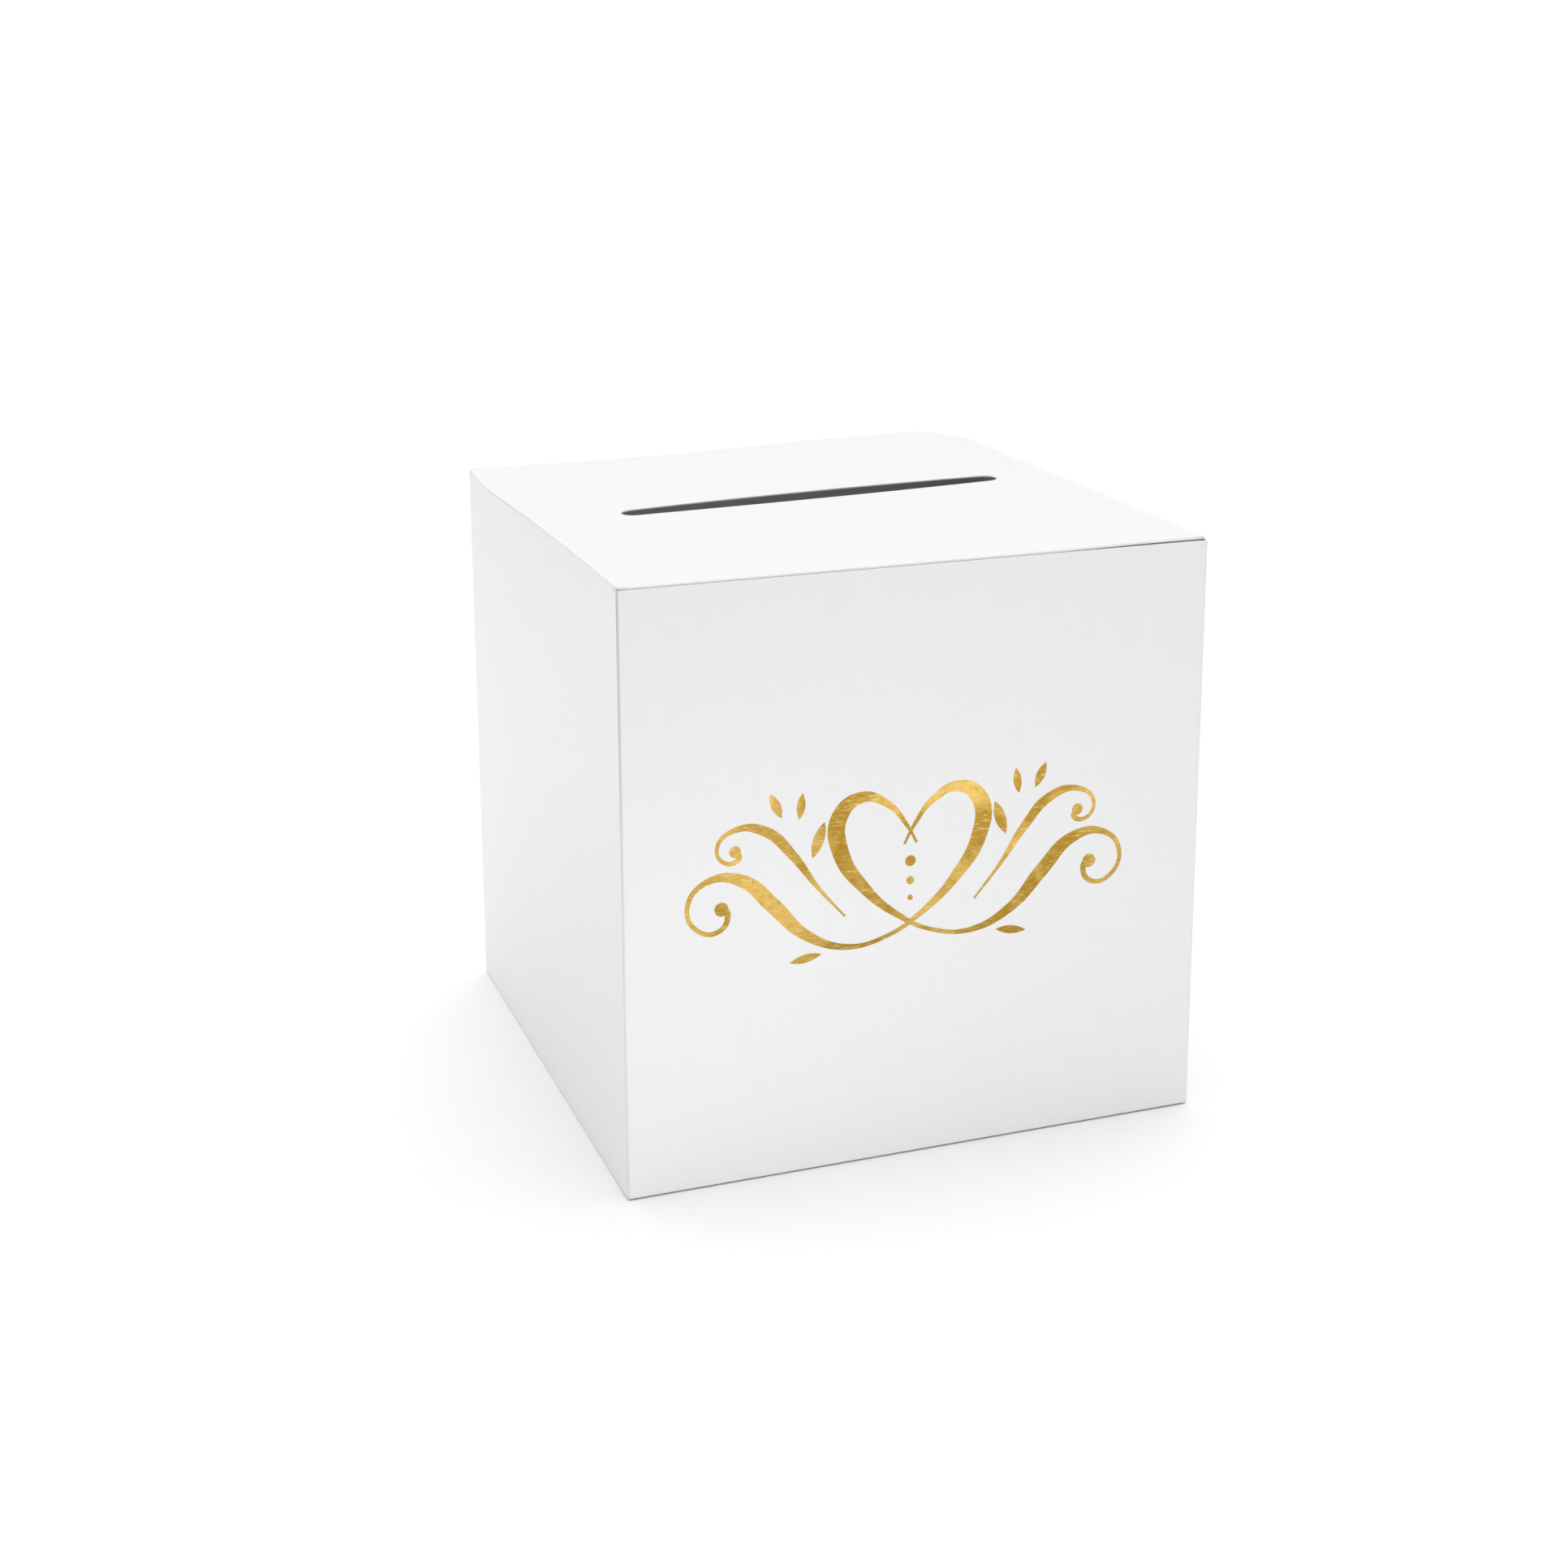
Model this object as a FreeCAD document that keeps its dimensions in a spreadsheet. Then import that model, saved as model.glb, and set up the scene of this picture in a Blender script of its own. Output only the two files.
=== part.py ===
import FreeCAD, Part
import math
import os
import re
import Sketcher

# Wedding card box: a self-assembly box of coated paperboard, folded from one die-cut blank.
# Frame: origin under the middle of the box on the table, front towards -Y, +X right, +Z up.
# Each flat panel, and each crease between two panels, is a piece of its own. Millimetres.

Vector = FreeCAD.Vector
X, Y, Z = Vector(1, 0, 0), Vector(0, 1, 0), Vector(0, 0, 1)
doc = FreeCAD.newDocument("wedding_card_box")

DIMENSIONS = {
    # the folded box
    "boxWidth": 240,
    "boxDepth": 240,
    "boxHeight": 240,
    "board": 0.5,
    "foldRadius": 0.9,
    # lid, card slot and the flap that tucks in behind the front panel
    "frontDrop": 1,
    "lidInset": 0.3,
    "slotLength": 167,
    "slotWidth": 10.5,
    "tuckClearance": 0.15,
    "tuckLength": 35,
    "tuckInset": 2.5,
    "tuckTaper": 3,
    "tuckCorner": 14,
    "tuckLean": 4.5,
    # dust flaps under the two side edges of the lid
    "lidGap": 0.1,
    "dustLength": 30,
    "dustEnd": 3,
    "dustNeck": 6,
    "dustTaper": 14,
    "dustCorner": 6,
    # glued side seam at the rear right corner
    "seamSetback": 0.5,
    "tabWidth": 16,
    "tabInset": 6,
    "tabTaper": 6,
    "glueThickness": 0.05,
    "glueWidth": 11,
    "glueInset": 18,
    # locking bottom: side flaps lie on the front flap, the rear flap on them, the tongue on top
    "layer": 0.6,
    "bottomInset": 2.5,
    "sideLength": 178,
    "sideReach": 65,
    "sideRamp": 20,
    "sideTaper": 24,
    "rearReach": 149,
    "rearRamp": 30,
    "rearTaper": 18,
    "lockWidth": 100,
    "lockDepth": 35,
    "frontReach": 99,
    "frontShoulder": 21,
    "tongueWidth": 88,
    "tongueRamp": 16,
    "tongueReach": 30,
    "tongueCorner": 10,
    # hot-stamped foil design on the front panel
    "foilThickness": 0.03,
    "foilCentreX": -5,
    "foilCentreZ": 121,
}
sheet = doc.addObject("Spreadsheet::Sheet", "Dimensions")
for row, (alias, size) in enumerate(DIMENSIONS.items(), start=1):
    sheet.set(f"A{row}", alias)
    sheet.set(f"B{row}", str(size))
    sheet.setAlias(f"B{row}", alias)
doc.recompute()

# levels and centres that several pieces share, as expressions on the sheet
LID_UNDER = "(boxHeight - board)"
LID_FOLD_Z = "(boxHeight - foldRadius)"
TUCK_FOLD_Y = "(-boxDepth / 2 + board + tuckClearance + foldRadius)"
DUST_TOP = "(boxHeight - board - lidGap)"
DUST_FOLD_Z = "(boxHeight - board - lidGap - foldRadius)"
SIDE_X = "(boxWidth / 2 - foldRadius)"
REAR_Y = "(boxDepth / 2 - foldRadius)"
TAB_OUTER_X = "(boxWidth / 2 - board - glueThickness)"
SEAM_FOLD_X = "(boxWidth / 2 - board - glueThickness - foldRadius)"
TAB_HEIGHT = "(boxHeight - 2 * foldRadius - 2 * tabInset)"

pieces = []


def cells(text):
    """The expression with every dimension's name written as a cell of the sheet."""
    return re.sub(r"[a-z]\w+", lambda name: "Dimensions." * (name[0] in DIMENSIONS) + name[0], text)


def worth(text):
    """What the expression comes to, in millimetres."""
    return float(sheet.evalExpression(cells(text)))


def place(piece, corner, turn=FreeCAD.Rotation()):
    """Puts a piece where the three expressions say and lists it as a node."""
    piece.Placement = FreeCAD.Placement(Vector(*map(worth, corner)), turn)
    for axis, text in zip("xyz", corner):
        piece.setExpression(f"Placement.Base.{axis}", cells(text))
    pieces.append(piece)


def panel(label, corner, size):
    """A flat rectangular sheet, from its lowest corner and its three sizes."""
    box = doc.addObject("Part::Box", label)
    for side, text in zip(("Length", "Width", "Height"), size):
        box.setExpression(side, cells(text))
    place(box, corner)


def fold(label, centre, length, start, axis, angle="90"):
    """A crease: part of a ring whose outside starts at one panel's outer face and turns about axis."""
    outside = doc.addObject("Part::Cylinder", f"{label}_outside")
    outside.setExpression("Radius", cells("foldRadius"))
    outside.setExpression("Angle", cells(angle))
    inside = doc.addObject("Part::Cylinder", f"{label}_inside")
    inside.setExpression("Radius", cells("foldRadius - board"))
    for cylinder in (outside, inside):
        cylinder.setExpression("Height", cells(length))
    ring = doc.addObject("Part::Cut", label)
    ring.Base = outside
    ring.Tool = inside
    place(ring, centre, FreeCAD.Rotation(start, axis.cross(start), axis, "ZXY"))


def drawing(body, role, name):
    """An empty sketch on one of the body's own origin planes."""
    sketch = body.newObject("Sketcher::SketchObject", name)
    plane = next(f for f in body.Origin.OriginFeatures if f.Role == role)
    sketch.AttachmentSupport = [(plane, "")]
    sketch.MapMode = "FlatFace"
    return sketch


def polygon(sketch, corners):
    """A closed outline, with both coordinates of each corner bound to the sheet."""
    first = sketch.GeometryCount
    points = [Vector(worth(x), worth(y), 0) for x, y in corners]
    for start, end in zip(points, points[1:] + points[:1]):
        sketch.addGeometry(Part.LineSegment(start, end), False)
    for i, corner in enumerate(corners):
        before = first + (i - 1) % len(corners)
        sketch.addConstraint(Sketcher.Constraint("Coincident", before, 2, first + i, 1))
        for kind, text in zip(("DistanceX", "DistanceY"), corner):
            number = sketch.addConstraint(Sketcher.Constraint(kind, first + i, 1, worth(text)))
            sketch.setExpression(f"Constraints[{number}]", cells(text))


def round_slot(sketch, length, width):
    """A slot with half-round ends, centred on the sketch's origin and running along its x axis."""
    radius = worth(width) / 2
    reach = worth(length) / 2 - radius
    sides = []
    ends = []
    for s in (1, -1):
        side = Part.LineSegment(Vector(-s * reach, s * radius), Vector(s * reach, s * radius))
        sides.append(sketch.addGeometry(side, False))
        start = -s * math.pi / 2
        end = Part.ArcOfCircle(Part.Circle(Vector(s * reach, 0), Z, radius), start, start + math.pi)
        ends.append(sketch.addGeometry(end, False))
    for i in (0, 1):
        sketch.addConstraint(Sketcher.Constraint("Tangent", sides[i], 2, ends[i], 2))
        sketch.addConstraint(Sketcher.Constraint("Tangent", ends[i], 1, sides[1 - i], 1))
    sketch.addConstraint(Sketcher.Constraint("Equal", ends[0], ends[1]))
    for kind, end, text in (
        ("DistanceX", ends[0], f"({length} - {width}) / 2"),
        ("DistanceX", ends[1], f"-({length} - {width}) / 2"),
        ("DistanceY", ends[0], "0"),
        ("DistanceY", ends[1], "0"),
    ):
        number = sketch.addConstraint(Sketcher.Constraint(kind, end, 3, worth(text)))
        sketch.setExpression(f"Constraints[{number}]", cells(text))
    number = sketch.addConstraint(Sketcher.Constraint("Radius", ends[0], radius))
    sketch.setExpression(f"Constraints[{number}]", cells(f"{width} / 2"))


def round_corners(body, corners, radius):
    """Rounds the upright edges that stand on these corners of the flap's outline."""
    tip = body.Tip
    wanted = [(worth(x), worth(y)) for x, y in corners]
    names = []
    for number, edge in enumerate(tip.Shape.Edges, start=1):
        low, high = edge.Vertexes[0].Point, edge.Vertexes[-1].Point
        upright = math.dist((low.x, low.y), (high.x, high.y)) < 1e-6
        if upright and any(math.dist((low.x, low.y), spot) < 1e-6 for spot in wanted):
            names.append(f"Edge{number}")
    assert len(names) == len(corners), f"{body.Label}: {len(names)} corner edges found"
    fillet = body.newObject("PartDesign::Fillet", f"{body.Name}_corners")
    fillet.Base = (tip, names)
    fillet.setExpression("Radius", cells(radius))
    doc.recompute()


def mirrored(corners):
    """The right half of an outline, from the crease outwards, with its mirror image."""
    return corners + [(f"-({x})", y) for x, y in reversed(corners)]


def flap(label, corners, slot=None):
    """A flat flap of the blank. Local x runs along its crease, y away from it, z through the board."""
    body = doc.addObject("PartDesign::Body", label)
    outline = drawing(body, "XY_Plane", f"{label}_outline")
    polygon(outline, corners)
    if slot:
        round_slot(outline, *slot)
    pad = body.newObject("PartDesign::Pad", f"{label}_board")
    pad.Profile = outline
    pad.setExpression("Length", cells("board"))
    doc.recompute()
    return body


def stepped_flap(label, underside, corners):
    """A bottom flap that ramps up over its neighbours: its side view padded, then cut to its outline."""
    body = doc.addObject("PartDesign::Body", label)
    profile = drawing(body, "YZ_Plane", f"{label}_profile")
    polygon(profile, underside + [(y, f"{z} + board") for y, z in reversed(underside)])
    pad = body.newObject("PartDesign::Pad", f"{label}_board")
    pad.Profile = profile
    pad.Midplane = True
    pad.setExpression("Length", cells("boxWidth"))
    doc.recompute()
    whole = body.Shape.Volume
    waste = drawing(body, "XY_Plane", f"{label}_waste")
    sides = (("-boxWidth", "-boxDepth"), ("boxWidth", "-boxDepth"))
    polygon(waste, [*sides, ("boxWidth", "boxDepth"), ("-boxWidth", "boxDepth")])
    polygon(waste, corners)
    pocket = body.newObject("PartDesign::Pocket", f"{label}_cut")
    pocket.Profile = waste
    pocket.Type = "ThroughAll"
    pocket.Midplane = True
    doc.recompute()
    assert body.Shape.Volume < whole, f"{label}: the outline cut nothing"
    return body


# Walls.
INNER_WIDTH = "boxWidth - 2 * foldRadius"
INNER_DEPTH = "boxDepth - 2 * foldRadius"
SIDE_HEIGHT = f"{DUST_FOLD_Z} - foldRadius"
panel(
    "front_panel",
    (f"-{SIDE_X}", "-boxDepth / 2", "foldRadius"),
    (INNER_WIDTH, "board", "boxHeight - frontDrop - foldRadius"),
)
panel(
    "back_panel",
    (f"-{SIDE_X}", "boxDepth / 2 - board", "foldRadius"),
    (f"{SIDE_X} + {SEAM_FOLD_X}", "board", "boxHeight - 2 * foldRadius"),
)
panel("left_panel", ("-boxWidth / 2", f"-{REAR_Y}", "foldRadius"), ("board", INNER_DEPTH, SIDE_HEIGHT))
panel(
    "right_panel",
    ("boxWidth / 2 - board", f"-{REAR_Y}", "foldRadius"),
    ("board", f"{REAR_Y} + boxDepth / 2 - seamSetback", SIDE_HEIGHT),
)

# Creases between the walls, and between the walls and the bottom.
fold("front_left_fold", (f"-{SIDE_X}", f"-{REAR_Y}", "foldRadius"), SIDE_HEIGHT, -X, Z)
fold("front_right_fold", (SIDE_X, f"-{REAR_Y}", "foldRadius"), SIDE_HEIGHT, -Y, Z)
fold("rear_left_fold", (f"-{SIDE_X}", REAR_Y, "foldRadius"), SIDE_HEIGHT, Y, Z)
fold("seam_fold", (SEAM_FOLD_X, REAR_Y, "foldRadius + tabInset"), TAB_HEIGHT, X, Z)
fold("front_bottom_fold", (f"-{SIDE_X}", f"-{REAR_Y}", "foldRadius"), INNER_WIDTH, -Y, X)
fold("rear_bottom_fold", (f"-{SIDE_X}", REAR_Y, "foldRadius"), INNER_WIDTH, -Z, X)
fold("left_bottom_fold", (f"-{SIDE_X}", f"-{REAR_Y}", "foldRadius"), INNER_DEPTH, -Z, Y)
fold("right_bottom_fold", (SIDE_X, f"-{REAR_Y}", "foldRadius"), INNER_DEPTH, X, Y)

# Side seam: the tab turns in from the back panel and is glued inside the right one.
tab = flap(
    "side_seam_tab",
    mirrored([(f"{TAB_HEIGHT} / 2", "0"), (f"{TAB_HEIGHT} / 2 - tabTaper", "tabWidth")]),
)
TAB_TURN = FreeCAD.Rotation(Z, -Y, X, "ZXY")  # crease upright, tab towards the front
place(tab, (f"{TAB_OUTER_X} - board", REAR_Y, "boxHeight / 2"), TAB_TURN)
panel(
    "seam_glue",
    (TAB_OUTER_X, f"{REAR_Y} - tabWidth / 2 - glueWidth / 2", "glueInset"),
    ("glueThickness", "glueWidth", "boxHeight - 2 * glueInset"),
)

# Lid and the crease it swings on.
LID_HALF = "boxWidth / 2 - lidInset"
lid = flap(
    "lid_panel",
    [
        (f"-({LID_HALF})", TUCK_FOLD_Y),
        (LID_HALF, TUCK_FOLD_Y),
        (LID_HALF, REAR_Y),
        (f"-({LID_HALF})", REAR_Y),
    ],
    slot=("slotLength", "slotWidth"),
)
place(lid, ("0", "0", LID_UNDER))
fold("lid_fold", (f"-{SIDE_X}", REAR_Y, LID_FOLD_Z), INNER_WIDTH, Y, X)

# Tuck flap: leans inwards so that its edge clears the front panel as the lid swings.
TUCK_HALF = "boxWidth / 2 - tuckInset"
TUCK_TIP = [(f"{TUCK_HALF} - tuckTaper", "tuckLength")]
tuck = flap("tuck_flap", mirrored([(TUCK_HALF, "0")] + TUCK_TIP))
round_corners(tuck, mirrored(TUCK_TIP), "tuckCorner")
place(
    tuck,
    (
        "0",
        f"{TUCK_FOLD_Y} - foldRadius * cos(tuckLean)",
        f"{LID_FOLD_Z} - foldRadius * sin(tuckLean)",
    ),
    FreeCAD.Rotation(X, worth("tuckLean - 90")),
)
fold(
    "tuck_fold",
    (f"-({TUCK_HALF})", TUCK_FOLD_Y, LID_FOLD_Z),
    f"2 * ({TUCK_HALF})",
    Z,
    X,
    "90 + tuckLean",
)

# Dust flaps: each lies flat under one side edge of the lid.
DUST_HALF = f"({REAR_Y} - dustEnd)"
DUST_TIP = [(f"{DUST_HALF} - dustTaper", "dustLength")]
DUST_NECK = [(DUST_HALF, "0"), (f"{DUST_HALF} - dustNeck", "dustNeck")]
for label, x, turn in (
    ("left_dust", f"-{SIDE_X}", FreeCAD.Rotation(Z, -90)),
    ("right_dust", SIDE_X, FreeCAD.Rotation(Z, 90)),
):
    dust = flap(f"{label}_flap", mirrored(DUST_NECK + DUST_TIP))
    round_corners(dust, mirrored(DUST_TIP), "dustCorner")
    place(dust, (x, "0", f"{DUST_TOP} - board"), turn)
fold("left_dust_fold", (f"-{SIDE_X}", f"-{DUST_HALF}", DUST_FOLD_Z), f"2 * {DUST_HALF}", -X, Y)
fold("right_dust_fold", (SIDE_X, f"-{DUST_HALF}", DUST_FOLD_Z), f"2 * {DUST_HALF}", Z, Y)

# Locking bottom.
CREASE_HALF = f"({SIDE_X} - bottomInset)"
TONGUE_END = "(frontReach + tongueRamp + tongueReach)"
TONGUE_TIP = [("tongueWidth / 2", TONGUE_END)]
front_flap = stepped_flap(
    "front_bottom_flap",
    [("0", "0"), ("frontReach", "0"), ("(frontReach + tongueRamp)", "3 * layer"), (TONGUE_END, "3 * layer")],
    mirrored(
        [
            (CREASE_HALF, "0"),
            (f"{SIDE_X} - frontShoulder", f"({REAR_Y} - sideLength / 2 - 1)"),
            (f"{SIDE_X} - frontShoulder", "frontReach"),
            ("tongueWidth / 2", "frontReach"),
        ]
        + TONGUE_TIP
    ),
)
round_corners(front_flap, mirrored(TONGUE_TIP), "tongueCorner")
place(front_flap, ("0", f"-{REAR_Y}", "0"))

LOCK_START = "(rearReach - lockDepth)"
rear_flap = stepped_flap(
    "rear_bottom_flap",
    [("0", "0"), ("rearRamp", "2 * layer"), ("rearReach", "2 * layer")],
    mirrored(
        [
            (CREASE_HALF, "0"),
            (f"{CREASE_HALF} - rearTaper", "rearReach"),
            ("lockWidth / 2", "rearReach"),
            ("lockWidth / 2", LOCK_START),
        ]
    ),
)
place(rear_flap, ("0", REAR_Y, "0"), FreeCAD.Rotation(Z, 180))

for label, x, turn in (
    ("left_bottom_flap", f"-{SIDE_X}", FreeCAD.Rotation(Z, -90)),
    ("right_bottom_flap", SIDE_X, FreeCAD.Rotation(Z, 90)),
):
    side_flap = stepped_flap(
        label,
        [("0", "0"), ("sideRamp", "layer"), ("sideReach", "layer")],
        mirrored([("sideLength / 2", "0"), ("sideLength / 2 - sideTaper", "sideReach")]),
    )
    place(side_flap, (x, "0", "0"), turn)

# Foil design: a heart whose two strokes run on into scrolls, with sprays beside it.
# Each point is x, width and z on the panel, seen from the front; the left side mirrors the right.
HEART_STROKE = [
    (2.6, 1, 8.6),
    (-1.2, 1.5, 15.5),
    (-9.5, 2.8, 25.5),
    (-20.5, 4.6, 29.4),
    (-29.3, 6.8, 22.5),
    (-28.8, 6.6, 8.5),
    (-18.5, 4.4, -7.8),
    (-4.8, 2.4, -20.2),
    (9, 1.7, -27.8),
    (26, 2.3, -30.2),
    (43, 4.2, -23),
    (56, 6, -9.5),
    (68.5, 4.8, 2.2),
    (81.5, 2.6, 3.6),
    (89.8, 1.9, -4.8),
    (86.6, 1.8, -15),
    (77.6, 2, -16.8),
    (74.2, 2.4, -10),
    (76, 2.6, -8),
]
SPRAY_STROKE = [
    (27, 0.8, -17.5),
    (38, 1.7, -4.5),
    (48, 3.6, 9.5),
    (58.5, 4, 20.2),
    (70.5, 2.3, 22.6),
    (78, 1.6, 16.6),
    (75.4, 1.6, 10.2),
    (69.6, 2.2, 11),
    (70.4, 2.4, 13.6),
]
HEART_BALL = (76.6, -8.2, 2.8)
SPRAY_BALL = (71, 13.9, 2.3)
DROPS = [(0, 1.5, 2.2), (0, -6.5, 1.6), (0, -13.5, 1.1)]
LEAVES = [
    ((40.2, 7.5), (35.2, 21.5), 4.6),
    ((52.5, 25), (57, 35), 3.8),
    ((45.5, 23.5), (44, 34), 3.4),
    ((36.5, -31.6), (49.5, -33.6), 3.4),
]
SAMPLES = 40


def on_panel(x, z):
    """A point of the design on the front panel's outer face."""
    return Vector(worth("foilCentreX") + x, worth("-boxDepth / 2"), worth("foilCentreZ") + z)


def stamped(wire):
    """The foil inside a closed outline, standing on the panel's face."""
    return Part.Face(wire).extrude(Vector(0, -worth("foilThickness"), 0))


def stroke(points, side):
    """A pen stroke that swells and thins. side is 1 or -1, for the design's right or left half."""
    spine = Part.BSplineCurve()
    spine.interpolate([Vector(x, width, z) for x, width, z in points])
    edges = ([], [])
    for i in range(SAMPLES + 1):
        at = spine.FirstParameter + (spine.LastParameter - spine.FirstParameter) * i / SAMPLES
        middle, along = spine.value(at), spine.getD1(at)[1]
        along.y = 0
        along.normalize()
        for edge, half in zip(edges, (middle.y / 2, -middle.y / 2)):
            edge.append(on_panel(side * (middle.x - along.z * half), middle.z + along.x * half))
    curves = []
    for edge in edges:
        curve = Part.BSplineCurve()
        curve.interpolate(edge)
        curves.append(curve.toShape())
    ends = [Part.makeLine(edges[0][i], edges[1][i]) for i in (0, -1)]
    return stamped(Part.Wire(Part.__sortEdges__(curves + ends)))


def ball(x, z, radius, side):
    """A round dot, as at the inner end of a scroll."""
    circle = Part.Circle(on_panel(side * x, z), Y, radius)
    return stamped(Part.Wire(circle.toShape()))


def leaf(start, end, width, side):
    """Two arcs that meet in a point at each end."""
    a, b = Vector(*start, 0), Vector(*end, 0)
    across = (b - a).cross(Z).normalize() * (width / 2)
    tips = [on_panel(side * p.x, p.y) for p in (a, b)]
    bulges = [on_panel(side * p.x, p.y) for p in ((a + b) / 2 + across, (a + b) / 2 - across)]
    arcs = [Part.Arc(tips[0], bulge, tips[1]).toShape() for bulge in bulges]
    return stamped(Part.Wire(arcs))


def foil(label, shapes):
    """One node of the foil design; shapes that cross become one solid."""
    piece = doc.addObject("Part::Feature", label)
    joined = shapes[0].fuse(shapes[1:]) if len(shapes) > 1 else shapes[0]
    piece.Shape = joined.removeSplitter()
    pieces.append(piece)


heart = []
for half in (1, -1):
    heart += [stroke(HEART_STROKE, half), ball(*HEART_BALL, half)]
foil("foil_heart_scroll", heart)
for label, half in (("foil_left_spray", -1), ("foil_right_spray", 1)):
    spray = [stroke(SPRAY_STROKE, half), ball(*SPRAY_BALL, half)]
    foil(label, spray + [leaf(*spot, half) for spot in LEAVES])
foil("foil_drops", [ball(*spot, 1) for spot in DROPS])

# Checks and output.
doc.recompute()
for item in doc.Objects:
    assert not {"Invalid", "Error"} & set(item.State), f"{item.Label} failed: {item.State}"
os.makedirs("parts", exist_ok=True)
for piece in pieces:
    shape = piece.Shape
    assert not shape.isNull() and shape.isValid(), f"{piece.Label} has no valid shape"
    assert shape.Volume > 0, f"{piece.Label} is inside out"
    shape.exportStep(f"parts/{piece.Label}.step")
    print(f"{piece.Label}: {len(shape.Solids)} solid(s), {shape.Volume:.1f} mm3")
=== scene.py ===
import math

import bmesh
import bpy
from mathutils import Matrix, Vector


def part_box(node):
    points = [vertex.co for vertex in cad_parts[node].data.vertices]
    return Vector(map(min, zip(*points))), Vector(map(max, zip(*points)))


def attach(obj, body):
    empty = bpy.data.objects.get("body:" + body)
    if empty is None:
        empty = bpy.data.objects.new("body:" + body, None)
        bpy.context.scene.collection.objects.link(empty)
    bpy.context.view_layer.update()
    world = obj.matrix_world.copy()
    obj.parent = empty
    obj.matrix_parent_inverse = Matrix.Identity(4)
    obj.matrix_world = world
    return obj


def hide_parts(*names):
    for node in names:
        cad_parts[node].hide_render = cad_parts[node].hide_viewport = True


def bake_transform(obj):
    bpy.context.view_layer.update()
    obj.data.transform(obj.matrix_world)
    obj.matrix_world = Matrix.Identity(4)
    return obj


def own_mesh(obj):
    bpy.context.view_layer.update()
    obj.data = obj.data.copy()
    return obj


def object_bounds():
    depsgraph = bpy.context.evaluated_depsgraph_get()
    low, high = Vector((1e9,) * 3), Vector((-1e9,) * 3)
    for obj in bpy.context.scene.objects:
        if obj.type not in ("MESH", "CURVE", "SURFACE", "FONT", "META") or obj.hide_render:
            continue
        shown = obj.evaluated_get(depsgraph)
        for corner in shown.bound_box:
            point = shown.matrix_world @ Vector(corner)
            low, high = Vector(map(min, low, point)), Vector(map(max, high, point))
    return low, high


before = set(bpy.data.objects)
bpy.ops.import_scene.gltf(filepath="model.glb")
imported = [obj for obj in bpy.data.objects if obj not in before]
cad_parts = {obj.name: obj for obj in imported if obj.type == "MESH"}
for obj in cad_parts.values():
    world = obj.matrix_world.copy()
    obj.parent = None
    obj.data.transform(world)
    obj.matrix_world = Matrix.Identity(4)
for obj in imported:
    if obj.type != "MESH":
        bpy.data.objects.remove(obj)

# Wedding card box: a cube folded from one blank of coated white paperboard, with a card slot in
# its lid and a hot-stamped gold foil design on its front. Metres; lengths in settings are millimetres.

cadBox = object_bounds()
mm = 0.001

board = {
    "thickness": 0.5,
    "foldRadius": 0.9,
    "edgeRound": 0.06,  # burr of the die rolled over at a cut edge
    "edgeSegments": 2,
    "edgeAngle": 50.0,  # only corners sharper than this are rolled over
    "cornerSegments": 8,
    "gridStep": 8.0,
    "lidGridStep": 5.33,  # the lid bends more, so its cells are smaller
}
half = cadBox[1].x / mm  # the box is as deep as it is wide
top = cadBox[1].z / mm
radius = board["foldRadius"]
side = half - radius  # where the flat part of a wall ends
rightWay = Vector((1, 0, 0))
rearWay = Vector((0, 1, 0))
upWay = Vector((0, 0, 1))


def linear(code):
    channels = [int(code[i:i + 2], 16) / 255 for i in (1, 3, 5)]
    return [c / 12.92 if c <= 0.04045 else ((c + 0.055) / 1.055) ** 2.4 for c in channels] + [1]


def addNode(tree, kind, settings=None, links=None):
    node = tree.nodes.new(kind)
    for key, value in (settings or {}).items():
        if isinstance(key, str) and hasattr(node, key):
            setattr(node, key, value)
        else:
            node.inputs[key].default_value = value
    for key, output in (links or {}).items():
        tree.links.new(output, node.inputs[key])
    return node


def newMaterial(name, finish):
    material = bpy.data.materials.new(name)
    material.use_nodes = True
    tree = material.node_tree
    shader = tree.nodes["Principled BSDF"]
    for key, value in finish.items():
        shader.inputs[key].default_value = value
    return material, tree, shader


def noise(tree, coords, size, detail=3, rough=0.5):
    # size is the width of one blotch in millimetres
    settings = {"Scale": 1 / (size * mm), "Detail": detail, "Roughness": rough}
    return addNode(tree, "ShaderNodeTexNoise", settings, {"Vector": coords}).outputs["Fac"]


def spread(tree, value, low, high, start=0.3, end=0.7):
    settings = {"From Min": start, "From Max": end, "To Min": low, "To Max": high}
    return addNode(tree, "ShaderNodeMapRange", settings, {"Value": value}).outputs["Result"]


def mixColour(tree, factor, first, second):
    node = addNode(tree, "ShaderNodeMix", {"data_type": "RGBA"})
    for place, colour in ((6, first), (7, second)):
        if isinstance(colour, str):
            node.inputs[place].default_value = linear(colour)
        else:
            tree.links.new(colour, node.inputs[place])
    tree.links.new(factor, node.inputs[0])
    return node.outputs[2]


def bump(tree, height, depth, normal=None):
    # depth is the height of the relief in millimetres
    links = {"Height": height}
    if normal:
        links["Normal"] = normal
    return addNode(tree, "ShaderNodeBump", {"Strength": 1, "Distance": depth * mm}, links).outputs["Normal"]


def objectCoords(tree):
    return addNode(tree, "ShaderNodeTexCoord").outputs["Object"]


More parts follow.
